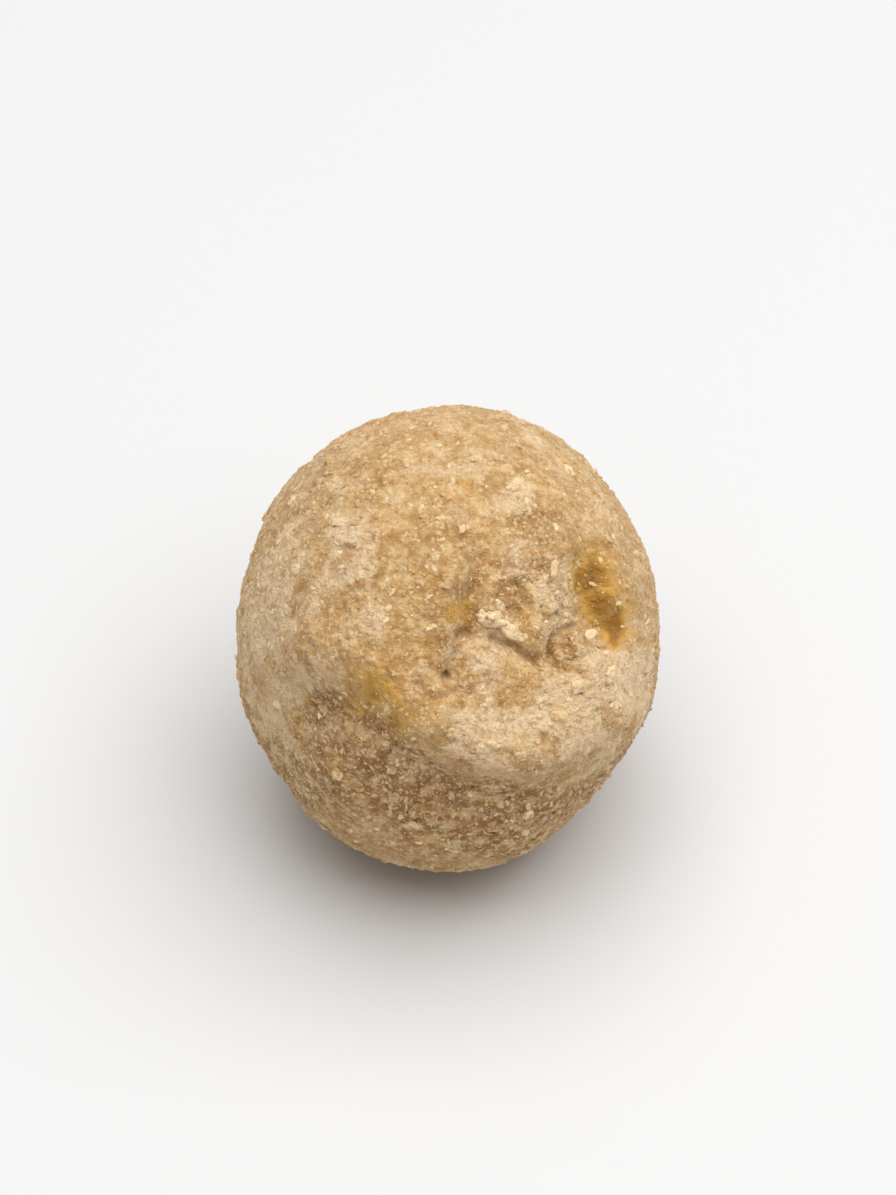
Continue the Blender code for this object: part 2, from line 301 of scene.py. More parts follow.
# %% Clods and grains
CLOD_SIZE = 2.6 * MM
CLOD_RELIEF = 0.42 * MM
GRAIN_SIZES = ((1.35 * MM, 0.13 * MM), (0.66 * MM, 0.1 * MM))
CRUMB_SIZE = 1.7 * MM
CRUMB_RELIEF = 0.12 * MM
PORE_SIZE = 0.62 * MM
PORE_DEPTH = 0.16 * MM
LOOSE_SPAN = 4.2 * MM


def broken(point, size, groove_width=0.3):
    """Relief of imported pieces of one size, about -1 to 1: each is level or tilted, with a groove round it."""
    place = point / size
    place = place + 0.35 * noise.noise_vector(place * 1.4)
    (nearest, second, *_), (middle, *_) = noise.voronoi(place)
    own = noise.cell_vector(middle * 9.7) - Vector((0.5, 0.5, 0.5))
    tilt = (place - middle).dot(own)
    return own.x + 1.3 * tilt + 0.55 * (smoothstep(0.0, groove_width, second - nearest) - 1)


def meal_relief(point, pinched):
    """Clods inside the pinch and packed grains all over, in metres."""
    clods = 0.7 * broken(point, CLOD_SIZE) + 0.28 * broken(point, CLOD_SIZE / 2.1)
    loose = smoothstep(-0.35, 0.45, noise.noise(point / LOOSE_SPAN + Vector((2.2, 6.4, 0.8))))
    loose = max(loose, pinched)
    crumb = CRUMB_RELIEF * noise.fractal(point / CRUMB_SIZE, 1.0, 2.0, 3)
    grains = sum(height * broken(point, size) for size, height in GRAIN_SIZES)
    pore = PORE_DEPTH * loose * smoothstep(0.28, 0.62, noise.noise(point / PORE_SIZE + Vector((7.7, 1.9, 3.3))))
    return CLOD_RELIEF * clods * pinched + crumb + grains * (0.6 + 0.4 * loose) - pore


def skin(direction):
    """The skin in a direction from the middle of the ball: its point, and the shares of pinch and of crack."""
    reach = pressed_reach(direction, rolled_reach(direction)) + LUMP_HEIGHT * lump(direction)
    raised, pinched, cracked = face_relief(direction, direction * reach)
    reach += raised
    fine = meal_relief(direction * reach, pinched)
    sunk = min(max(-fine / (0.35 * MM), 0.0), 1.0)
    return direction * (reach + fine), pinched, max(cracked, sunk)


# %% [markdown]
# ## The skin as a mesh
#
# A cube with a fine grid on each side, rounded into a ball, has even squares and no poles, unlike a globe. The
# grid is drawn together a little towards the pinch, where the small forms are. The ball is then cut level a
# little above its lowest point, because soft dough sags into a small flat spot under its own weight.

# %% The dough
CUTS = 127
CROWDING = 0.3


def face_direction(place):
    """The direction from the middle to a place on the face, given in millimetres to the right and up."""
    u, v = place[0] * MM, place[1] * MM
    out = math.sqrt((WIDTH / 2) ** 2 - min(u * u + v * v, (WIDTH / 2) ** 2 * 0.96))
    return (FACE_RIGHT * u + FACE_UP * v + FACE_OUT * out).normalized()


PINCH_DIRECTION = face_direction(PINCH_AT)


def crowded(direction):
    """The direction moved a little towards the pinch, so that the mesh is finer there."""
    angle = direction.angle(PINCH_DIRECTION)
    axis = direction.cross(PINCH_DIRECTION)
    if axis.length < 1e-6:
        return direction
    return Matrix.Rotation(CROWDING * math.sin(angle), 3, axis.normalized()) @ direction


def as_object(mesh, name):
    """The bmesh as an object at the origin, in the scene."""
    data = bpy.data.meshes.new(name)
    mesh.to_mesh(data)
    mesh.free()
    made = bpy.data.objects.new(name, data)
    bpy.context.scene.collection.objects.link(made)
    return made


def roll_dough():
    """The dough as a bmesh round the origin, with the shares of pinch and crack kept on its points."""
    mesh = bmesh.new()
    bmesh.ops.create_cube(mesh, size=2)
    bmesh.ops.subdivide_edges(mesh, edges=mesh.edges[:], cuts=CUTS, use_grid_fill=True)
    pinch_layer = mesh.verts.layers.float.new("pinch")
    crack_layer = mesh.verts.layers.float.new("crack")
    for vertex in mesh.verts:
        even = Vector([math.tan(side * math.pi / 4) for side in vertex.co]).normalized()
        vertex.co, vertex[pinch_layer], vertex[crack_layer] = skin(crowded(even))
    lowest = min(vertex.co.z for vertex in mesh.verts) + RESTING_SAG
    everything = mesh.verts[:] + mesh.edges[:] + mesh.faces[:]
    cut = bmesh.ops.bisect_plane(
        mesh, geom=everything, plane_co=(0, 0, lowest), plane_no=(0, 0, -1), clear_outer=True, dist=0.01 * MM
    )
    rim = [part for part in cut["geom_cut"] if isinstance(part, bmesh.types.BMEdge)]
    bmesh.ops.contextual_create(mesh, geom=rim)
    bmesh.ops.recalc_face_normals(mesh, faces=mesh.faces[:])
    return mesh


rolled = roll_dough()
corners = [[pick(vertex.co[i] for vertex in rolled.verts) for i in range(3)] for pick in (min, max)]
part_middle = (part_low + part_high) / 2
BALL_MIDDLE = Vector((
    part_middle.x - (corners[0][0] + corners[1][0]) / 2,
    part_middle.y - (corners[0][1] + corners[1][1]) / 2,
    part_low.z - corners[0][2],
))
rolled.transform(Matrix.Translation(BALL_MIDDLE))
dough = as_object(rolled, "dough")
dough.data.shade_smooth()
print("dough:", len(dough.data.polygons), "faces, middle in mm", [round(side / MM, 2) for side in BALL_MIDDLE])

# %% [markdown]
# ## Where the dry meal, the oily stretches, and the painted light and shade are
#
# The skin isn't one colour. Flour-dry patches lie in and around the pinch, and a few stretches, pressed hard by
# the thumb, are ochre with oil. Some of the dry patches are painted light, on the top of the lip, at the left and
# right edges and in the pinch. Under the lip and all round the foot the dough is browner, with pale meal in it,
# and that brown share is also painted shade: it is darkest just under the lip's edge, and browner patches paint
# the shade in the creases of the pinch. Each is kept as an attribute on the mesh, a number from 0 to 1 at every
# point, which the material reads. The same rules later decide where loose meal sticks, and tint each grain like
# the dough that it lies in.

# %% Dry, oily and brown shares, with painted light and shade
# Dry patches, given as middle, radius and strength: some are the real floury bloom, and those on the top of the lip, at
# the left and right edges and in the pinch are painted light
DRY_AND_LIT_PATCHES = (
    ((5.1, 11.7), 1.9, 0.85),
    ((2.0, 13.0), 1.5, 0.85),
    ((-7.6, 8.3), 2.2, 0.85),
    ((6.6, -6.8), 2.6, 0.85),
    ((12.4, -2.0), 2.4, 0.85),
    ((4.6, 0.8), 1.9, 0.75),
    ((8.8, 4.6), 2.5, 0.8),
    ((6.2, 6.0), 1.8, 0.65),
    ((-7.0, 5.5), 1.8, 0.85),
    ((-5.8, 1.8), 1.5, 0.85),
    ((1.8, -7.2), 2.4, 0.85),
    ((7.0, -9.0), 1.8, 0.85),
    ((11.5, -7.0), 3.0, 0.9),
    ((-16.0, 2.5), 4.0, 0.95),
    ((-12.4, 8.0), 3.0, 0.6),
    ((-12.2, -4.0), 2.4, 0.5),
    ((-12.4, -8.3), 3.0, 0.85),
    ((-9.0, -2.6), 1.8, 0.5),
    ((9.2, -3.3), 1.6, 0.8),
    ((-15.0, -8.0), 3.2, 0.95),
    ((16.2, -3.0), 3.6, 0.95),
)
OILY_PATCHES = (
    ((11.7, 5.2), 2.1, 1.0),
    ((12.7, 2.8), 2.0, 1.0),
    ((13.3, 0.9), 1.7, 1.0),
    ((-5.9, -4.0), 2.1, 0.75),
    ((-4.0, -6.4), 1.4, 0.75),
    # this one also paints the shade in the crease at the left wall of the pinch
    ((1.2, 2.2), 1.3, 0.7),
)
# Browner patches, given as middle, radius and strength: most are painted shade in the creases and along the upper edge
# of the pinch, and three weak ones darken the dome a little
BROWN_AND_SHADE_PATCHES = (
    ((7.0, 9.4), 2.2, 0.6),
    ((0.4, 8.4), 2.4, 0.35),
    ((-3.0, 6.0), 2.2, 0.3),
    ((-6.0, 12.0), 2.2, 0.3),
    ((1.3, 2.6), 1.9, 0.75),
    ((4.3, 3.2), 2.1, 0.7),
    ((0.2, 0.0), 1.5, 0.5),
    ((9.2, -1.0), 1.4, 0.75),
    ((11.9, 0.0), 1.2, 0.75),
)
PATCH_SPAN = 3.4 * MM
PATCH_FRAY_SPAN = 1.5 * MM
PATCH_FRAY = 0.8

# How high the browner dough and its painted shade reach above the middle, by azimuth from the front in degrees
BROWN_AND_SHADE_TOPS = (
    (-180, 1.0 * MM),
    (-110, -2.0 * MM),
    (-71, -6.0 * MM),
    (-50, 0.5 * MM),
    (-41, 6.0 * MM),
    (-32, 9.2 * MM),
    (-25, 9.9 * MM),
    (-10, 7.4 * MM),
    (3, 4.2 * MM),
    (12, 2.6 * MM),
    (22, 1.0 * MM),
    (32, -1.2 * MM),
    (45, -3.0 * MM),
    (90, -0.5 * MM),
    (180, 1.0 * MM),
)


def patch_share(direction, point, patches):
    """How far a point of the face lies in one of the patches, whose edges are frayed."""
    in_front = smoothstep(0.1, 0.4, direction.dot(FACE_OUT))
    u, v = place_on_face(point)
    u += PATCH_FRAY * noise.noise(point / PATCH_FRAY_SPAN)
    v += PATCH_FRAY * noise.noise(point / PATCH_FRAY_SPAN + Vector((4.0, 4.0, 4.0)))
    return in_front * max(strength * bell(math.hypot(u - at[0], v - at[1]), radius) for at, radius, strength in patches)


def dry_and_lit_share(direction, point):
    """How floury the skin is, from 0 to 1, with painted light in some of its patches."""
    cloud = noise.fractal(point / PATCH_SPAN + Vector((1.7, 4.4, 2.9)), 0.8, 2.0, 3)
    share = 0.26 + 0.6 * cloud + patch_share(direction, point, DRY_AND_LIT_PATCHES)
    return min(max(share - 0.5 * brown_and_shade_share(direction, point), 0.0), 1.0)


def oily_share(direction, point):
    """How oily the skin is, from 0 to 1."""
    cloud = noise.fractal(point / PATCH_SPAN + Vector((8.8, 0.3, 6.1)), 0.8, 2.0, 3)
    return min(0.3 * smoothstep(0.25, 0.75, cloud) + patch_share(direction, point, OILY_PATCHES), 1.0)


def brown_and_shade_share(direction, point):
    """How much of the browner dough and its painted shade shows, from 0 to 1: full just under its edge, and less at the
    foot.
    """
    azimuth = math.degrees(math.atan2(direction.x, -direction.y))
    for (start, low), (end, high) in zip(BROWN_AND_SHADE_TOPS, BROWN_AND_SHADE_TOPS[1:]):
        if start <= azimuth <= end:
            top = low + (high - low) * (azimuth - start) / (end - start)
    below = (top - point.z) / MM + 1.3 * noise.noise(point / (2.4 * MM))
    paler = 0.1 * smoothstep(3.0, 6.0, below) + 0.7 * smoothstep(9.5, 15.0, below)
    fading = 1.1 + 3.5 * (1 - smoothstep(0.0, 0.4, direction.dot(FACE_OUT)))
    under = smoothstep(-fading, fading, below) * (1 - paler)
    return max(under, patch_share(direction, point, BROWN_AND_SHADE_PATCHES))


def keep_shares(thing):
    """Writes the dry, oily and brown shares on a piece's points; the dry one also carries painted light, the brown one
    painted shade.
    """
    for name, rule in (("dry_and_lit", dry_and_lit_share), ("oily", oily_share), ("brown_and_shade", brown_and_shade_share)):
        layer = thing.data.attributes.new(name, "FLOAT", "POINT")
        for vertex, value in zip(thing.data.vertices, layer.data):
            point = vertex.co - BALL_MIDDLE
            value.value = rule(point.normalized(), point)


keep_shares(dough)
SHARES = ("pinch", "crack", "dry_and_lit", "oily", "brown_and_shade")
TINTING_SHARES = SHARES[2:]


class Skin:
    """What shows of some pieces: rays from the ball's middle find a spot, its normal and its shares."""

    def __init__(self, things):
        corners, faces, self.shares = [], [], []
        for thing in things:
            first = len(corners)
            mesh = thing.data
            corners += [vertex.co.copy() for vertex in mesh.vertices]
            kept = [
                [item.value for item in mesh.attributes[name].data] if name in mesh.attributes
                else [0.0] * len(mesh.vertices)
                for name in SHARES
            ]
            for face in mesh.polygons:
                faces.append([first + index for index in face.vertices])
                self.shares.append([values[face.vertices[0]] for values in kept])
        self.tree = BVHTree.FromPolygons(corners, faces)

    def at(self, direction):
        spot, normal, face, _ = self.tree.ray_cast(BALL_MIDDLE + direction * (DEPTH + WIDTH), -direction)
        return spot, normal, self.shares[face]


bare_skin = Skin([dough])


# %% [markdown]
# ## Flakes of coconut
#
# The larger flakes show one by one: a pale one lies across the pinch, a few stick up at its right end, and some
# are pressed flush all round the ball. The named ones are listed with their places. The others lie on a
# golden-angle spiral, which spreads points evenly over a ball, each moved a little by a seeded draw.

# %% Flakes
# (right, up) on the face, length, width, turn in degrees, height proud of the dough, all in millimetres
PLACED_FLAKES = (
    (3.6, 1.6, 3.0, 1.6, -18, 0.5),
    (5.2, 0.7, 3.0, 1.4, -38, 0.55),
    (12.2, 0.2, 1.9, 1.3, 15, 0.6),
    (12.5, -2.8, 1.9, 1.2, 70, 0.5),
    (9.9, -3.6, 1.8, 1.2, 20, 0.5),
    (8.4, -5.9, 2.3, 1.4, -25, 0.35),
    (8.4, 5.6, 2.2, 0.9, 80, 0.35),
    (5.2, 11.5, 2.2, 1.5, 50, 0.35),
    (2.2, 13.4, 1.4, 1.0, 10, 0.35),
    (-7.8, 8.6, 1.9, 1.1, -15, 0.3),
    (-12.0, 10.8, 1.5, 0.9, 35, 0.35),
    (-6.2, 4.6, 1.1, 1.0, 0, 0.35),
    (-8.5, -10.6, 1.3, 1.1, 0, 0.4),
    (-2.6, -14.8, 1.6, 0.8, -20, 0.4),
    (6.2, -13.6, 1.2, 0.8, 40, 0.35),
)
SCATTERED_FLAKES = 74
FLAKE_LENGTHS = (0.9, 1.6)
FLAKE_ASPECT = (0.55, 0.95)
FLAKE_PROUD = (0.17, 0.3)
FLAKE_SEED = 11
FLAKES_ABOVE = -0.86
FLAKE_THICKNESS = 0.75
FLAKE_CUTS = 5
TORN_SPAN = 0.6 * MM
TORN_HEIGHT = 0.15 * MM
NEARLY_WHITE = 3


def frame_on(normal):
    """A turn that lays flat things on a surface with that normal."""
    beside = FACE_RIGHT - normal * normal.dot(FACE_RIGHT)
    if beside.length < 0.1:
        beside = FACE_UP - normal * normal.dot(FACE_UP)
    beside.normalize()
    return Matrix((beside, normal.cross(beside), normal)).transposed().to_4x4()


def scattered_directions(draw):
    """Directions spread evenly over the ball on a golden-angle spiral, each a little off its place."""
    golden = math.pi * (3 - math.sqrt(5))
    for index in range(SCATTERED_FLAKES):
        height = 1 - 2 * (index + 0.5) / SCATTERED_FLAKES
        ring = math.sqrt(1 - height * height)
        even = Vector((math.cos(golden * index) * ring, math.sin(golden * index) * ring, height))
        jitter = Vector([draw.uniform(-0.12, 0.12) for _ in range(3)])
        direction = (even + jitter).normalized()
        if direction.z > FLAKES_ABOVE:
            yield direction


def far_from(direction, taken):
    return all(direction.angle(other) > math.radians(7) for other in taken)


def add_flake(mesh, direction, sizes, turn, proud, draw, shade=None):
    """One flake, a chip with flat sides and torn edges, pressed into the dough so that it stands proud of it."""
    length, width = sizes
    thickness = FLAKE_THICKNESS * width
    spot, _, _ = bare_skin.at(direction)
    flake = bmesh.new()
    bmesh.ops.create_icosphere(flake, subdivisions=1, radius=0.5)
    rough = [draw.uniform(0.85, 1.15) for _ in flake.verts]
    for vertex, share in zip(flake.verts, rough):
        vertex.co *= share
        vertex.co = Vector((vertex.co.x * length, vertex.co.y * width, vertex.co.z * thickness)) * MM
    bmesh.ops.subdivide_edges(flake, edges=flake.edges[:], cuts=FLAKE_CUTS, use_grid_fill=True)
    place = Matrix.Translation(spot + direction * (proud - thickness / 2) * MM)
    flake.transform(place @ frame_on(direction) @ Matrix.Rotation(turn, 4, "Z"))
    flake.normal_update()
    shade_layer = flake.verts.layers.float.new("shade")
    for vertex in flake.verts:
        vertex.co += vertex.normal * noise.fractal(vertex.co / TORN_SPAN, 0.7, 2.3, 4) * TORN_HEIGHT
        vertex[shade_layer] = shade or (sum(rough) - len(rough)) * 0.6 + 0.5
    data = bpy.data.meshes.new("flake")
    flake.to_mesh(data)
    flake.free()
    mesh.from_mesh(data)
    bpy.data.meshes.remove(data)


def make_flakes():
    draw = random.Random(FLAKE_SEED)
    mesh = bmesh.new()
    mesh.verts.layers.float.new("shade")
    taken = []
    for u, v, length, width, turn, proud in PLACED_FLAKES:
        shade = 0.85 if len(taken) < NEARLY_WHITE else None
        taken.append(face_direction((u, v)))
        add_flake(mesh, taken[-1], (length, width), math.radians(turn), proud, draw, shade)
    for direction in scattered_directions(draw):
        if far_from(direction, taken):
            length = draw.uniform(*FLAKE_LENGTHS)
            width = length * draw.uniform(*FLAKE_ASPECT)
            proud = draw.uniform(*FLAKE_PROUD)
            taken.append(direction)
            add_flake(mesh, direction, (length, width), draw.uniform(0, math.tau), proud, draw)
    print("flakes:", len(taken))
    return as_object(mesh, "coconut_flakes")


flakes = make_flakes()
flakes.data.shade_smooth()
keep_shares(flakes)
whole_skin = Skin([dough, flakes])

# %% [markdown]
# ## Grains and crumbs
#
# Grated coconut is mostly grains under a millimetre. Thousands of them show as caps in the skin: pale ones of
# coconut, and tan ones that the jaggery has coated. Each is a small rough ball of twenty faces, flattened,
# turned at random and sunk by more than half. A bmesh slows down as it grows, so they are made in batches.

# %% Scattering
BATCH = 150
QUICK_SHARE = 1.0
REST_RIM = -0.9


def spread(count, density, draw):
    """Random spots on the skin with their normals, more where density is high."""
    found = 0
    while found < count * QUICK_SHARE:
        direction = Vector([draw.gauss(0, 1) for _ in range(3)]).normalized()
        if direction.z < REST_RIM:
            continue
        spot, normal, shares = whole_skin.at(direction)
        if draw.random() < density(direction, *shares):
            found += 1
            yield spot, normal, shares[2:]


def scatter(name, count, density, lengths, widths, flatness, sunk, seed, rough=0.2, octahedra=False):
    """Small pieces in the skin. Lengths in millimetres; width, flatness and depth are shares of the length."""
    draw = random.Random(seed)
    kept_names = ("shade",) + TINTING_SHARES

    def new_batch():
        made = bmesh.new()
        return made, [made.verts.layers.float.new(name) for name in kept_names]

    def hand_over():
        data = bpy.data.meshes.new("batch")
        batch.to_mesh(data)
        joined.from_mesh(data)
        bpy.data.meshes.remove(data)
        batch.free()

    joined, _ = new_batch()
    batch, layers = new_batch()
    in_batch = 0
    for spot, normal, tinting in spread(count, density, draw):
        length = draw.triangular(*lengths) * MM
        width, thickness = length * draw.uniform(*widths), length * draw.uniform(*flatness)
        lean = Matrix.Rotation(draw.gauss(0, 0.3), 4, "X") @ Matrix.Rotation(draw.gauss(0, 0.16), 4, "Y")
        place = Matrix.Translation(spot + normal * thickness * (0.5 - draw.uniform(*sunk)))
        size = Matrix.Diagonal((length, width, thickness, 1))
        matrix = place @ frame_on(normal) @ Matrix.Rotation(draw.uniform(0, math.tau), 4, "Z") @ lean @ size
        if octahedra:
            made = bmesh.ops.create_uvsphere(batch, u_segments=4, v_segments=2, radius=0.5)["verts"]
        else:
            made = bmesh.ops.create_icosphere(batch, subdivisions=1, radius=0.5)["verts"]
        values = [draw.random(), *tinting]
        for vertex in made:
            vertex.co = matrix @ (vertex.co * draw.uniform(1 - rough, 1 + rough))
            for layer, value in zip(layers, values):
                vertex[layer] = value
        in_batch += 1
        if in_batch == BATCH:
            hand_over()
            batch, layers = new_batch()
            in_batch = 0
    hand_over()
    made = as_object(joined, name)
    print(name, len(made.data.polygons), "faces")
    return made


# %% The grains
CLUSTERS = 8.0
def grain_density(direction, pinched, cracked, dry_and_lit, oily, brown_and_shade):
    foot = smoothstep(-0.2, -0.6, direction.z)
    clustered = 0.35 + 1.2 * smoothstep(-0.25, 0.35, noise.noise(direction * CLUSTERS))
    return (0.2 + 0.3 * dry_and_lit + 0.1 * pinched + (0.25 + 0.7 * foot) * brown_and_shade * clustered) * (1 - 0.95 * oily)


def crumb_density(direction, pinched, cracked, dry_and_lit, oily, brown_and_shade):
    return 0.24 + 0.5 * brown_and_shade - 0.2 * oily


def meal_density(direction, pinched, cracked, dry_and_lit, oily, brown_and_shade):
    return (0.15 + 0.7 * dry_and_lit + 0.4 * brown_and_shade) * (1 - 0.9 * oily) + 0.2 * cracked


grains = scatter(
    "coconut_grains", 9500, grain_density, lengths=(0.28, 1.0, 0.45), widths=(0.35, 0.8), flatness=(0.28, 0.5),
    sunk=(0.68, 0.93), seed=21, rough=0.3,
)
bits = scatter(
    "coconut_bits", 420, grain_density, lengths=(0.6, 1.25, 0.8), widths=(0.35, 0.6), flatness=(0.22, 0.4),
    sunk=(0.68, 0.92), seed=24, rough=0.25,
)
crumbs = scatter(
    "dough_crumbs", 7000, crumb_density, lengths=(0.22, 0.75, 0.34), widths=(0.65, 1.0), flatness=(0.4, 0.7),
    sunk=(0.66, 0.92), seed=22, rough=0.3,
)
meal = scatter(
    "coconut_meal", 18000, meal_density, lengths=(0.09, 0.28, 0.14), widths=(0.6, 1.0), flatness=(0.5, 0.9),
    sunk=(0.3, 0.7), seed=23, rough=0.25, octahedra=True,
)
crumbs.data.shade_smooth()

# %% [markdown]
# ## Finishes
#
# The looks of the dough come from three things: the mixed colours of the meal, the dry bloom on the
# skin, and a little light that goes in and comes out warmer. On top of these, light and shade are painted into
# the colour: the dry share is painted light in some patches, and the browner dough under the lip and the dark
# tint in the cracks are painted shade. The mix of grains is one effect that the dough, the crumbs and the
# flakes share, so it is a node group with its own inputs.


# %% Helpers for nodes
def add(tree, kind, values=None, **settings):
    """A node with its settings, and its inputs set by number or name or linked from other nodes' sockets."""
    made = tree.nodes.new(kind)
    for key, value in settings.items():
        setattr(made, key, value)
    for key, value in (values or {}).items():
        if isinstance(value, bpy.types.NodeSocket):
            tree.links.new(value, made.inputs[key])
        else:
            made.inputs[key].default_value = value
    return made


def mix_colour(tree, share, first, second, way="MIX"):
    made = add(tree, "ShaderNodeMix", {0: share}, data_type="RGBA", blend_type=way)
    for index, value in ((6, first), (7, second)):
        if isinstance(value, bpy.types.NodeSocket):
            tree.links.new(value, made.inputs[index])
        else:
            made.inputs[index].default_value = value
    return made.outputs[2]


def reckon(tree, operation, first, second=0.0, third=0.0):
    made = add(tree, "ShaderNodeMath", {0: first, 1: second, 2: third}, operation=operation)
    return made.outputs[0]


def ramp(tree, value, low, high):
    """A smooth step of a value from 0 at low to 1 at high."""
    made = add(tree, "ShaderNodeMapRange", {0: value, 1: low, 2: high}, interpolation_type="SMOOTHSTEP")
    return made.outputs[0]


def group(name, inputs, outputs):
    tree = bpy.data.node_groups.new(name, "ShaderNodeTree")
    for socket, kind, value in inputs:
        made = tree.interface.new_socket(socket, in_out="INPUT", socket_type=kind)
        if value is not None:
            made.default_value = value
    for socket, kind in outputs:
        tree.interface.new_socket(socket, in_out="OUTPUT", socket_type=kind)
    return tree, add(tree, "NodeGroupInput").outputs, add(tree, "NodeGroupOutput").inputs


# %% The mixed meal
def meal_group():
    """Grains of one size: which are pale, which are dark, and how high each stands."""
    tree, given, out = group(
        "packed_meal",
        (
            ("Place", "NodeSocketVector", None),
            ("Grains per mm", "NodeSocketFloat", 2.0),
            ("Pale share", "NodeSocketFloat", 0.25),
            ("Dark share", "NodeSocketFloat", 0.15),
        ),
        (
            ("Pale", "NodeSocketFloat"),
            ("Dark", "NodeSocketFloat"),
            ("Tone", "NodeSocketFloat"),
            ("Height", "NodeSocketFloat"),
        ),
    )
    warp = add(tree, "ShaderNodeTexNoise", {"Vector": given["Place"], "Scale": 2.2, "Detail": 2.0})
    centred = add(tree, "ShaderNodeVectorMath", {0: warp.outputs["Color"], 1: (0.5, 0.5, 0.5)}, operation="SUBTRACT")
    warped = add(
        tree, "ShaderNodeVectorMath", {0: centred.outputs[0], 1: (0.5, 0.5, 0.5), 2: given["Place"]},
        operation="MULTIPLY_ADD",
    )
    cells = add(
        tree, "ShaderNodeTexVoronoi",
        {"Vector": warped.outputs[0], "Scale": given["Grains per mm"], "Randomness": 1.0},
        feature="F1",
    )
    own = add(tree, "ShaderNodeSeparateColor", {0: cells.outputs["Color"]})
    core = ramp(tree, cells.outputs["Distance"], 0.72, 0.2)
    pale = reckon(tree, "LESS_THAN", own.outputs[0], given["Pale share"])
    dark = reckon(tree, "LESS_THAN", own.outputs[1], given["Dark share"])
    tree.links.new(reckon(tree, "MULTIPLY", pale, core), out["Pale"])
    tree.links.new(reckon(tree, "MULTIPLY", dark, core), out["Dark"])
    tree.links.new(own.outputs[2], out["Tone"])
    raised = reckon(tree, "MULTIPLY", core, reckon(tree, "MULTIPLY_ADD", own.outputs[2], 0.6, 0.4))
    tree.links.new(raised, out["Height"])
    return tree


PACKED_MEAL = meal_group()


def place_in_mm(tree):
    """Object coordinates in millimetres."""
    place = add(tree, "ShaderNodeTexCoord").outputs["Object"]
    return add(tree, "ShaderNodeMapping", {"Vector": place, "Scale": (1000, 1000, 1000)}).outputs[0]


def use_group(tree, which, values):
    made = add(tree, "ShaderNodeGroup", node_tree=which)
    for key, value in values.items():
        if isinstance(value, bpy.types.NodeSocket):
            tree.links.new(value, made.inputs[key])
        else:
            made.inputs[key].default_value = value
    return made.outputs


def new_material(name, **constants):
    material = bpy.data.materials.new(name)
    material.use_nodes = True
    shader = material.node_tree.nodes["Principled BSDF"]
    for key, value in constants.items():
        shader.inputs[key.replace("_", " ")].default_value = value
    return material, material.node_tree, shader


# %% The colours of the dough
TAN = (0.50, 0.28, 0.10, 1)
LIGHT_TAN = (0.62, 0.38, 0.155, 1)
BROWN = (0.325, 0.146, 0.029, 1)
# deep brown: the browner dough under the lip, and painted shade there
DEEP_BROWN_SHADE = (0.218, 0.079, 0.004, 1)
COCONUT = (0.87, 0.64, 0.35, 1)
# floury colour: the dry bloom, and painted light where the dry patches stand for it
FLOURY_AND_LIT = (0.825, 0.635, 0.415, 1)
OCHRE = (0.315, 0.134, 0.003, 1)
GOLDEN = (0.585, 0.31, 0.045, 1)
# painted shade in the cracks and sunk places
CREVICE_SHADE = (0.22, 0.105, 0.024, 1)


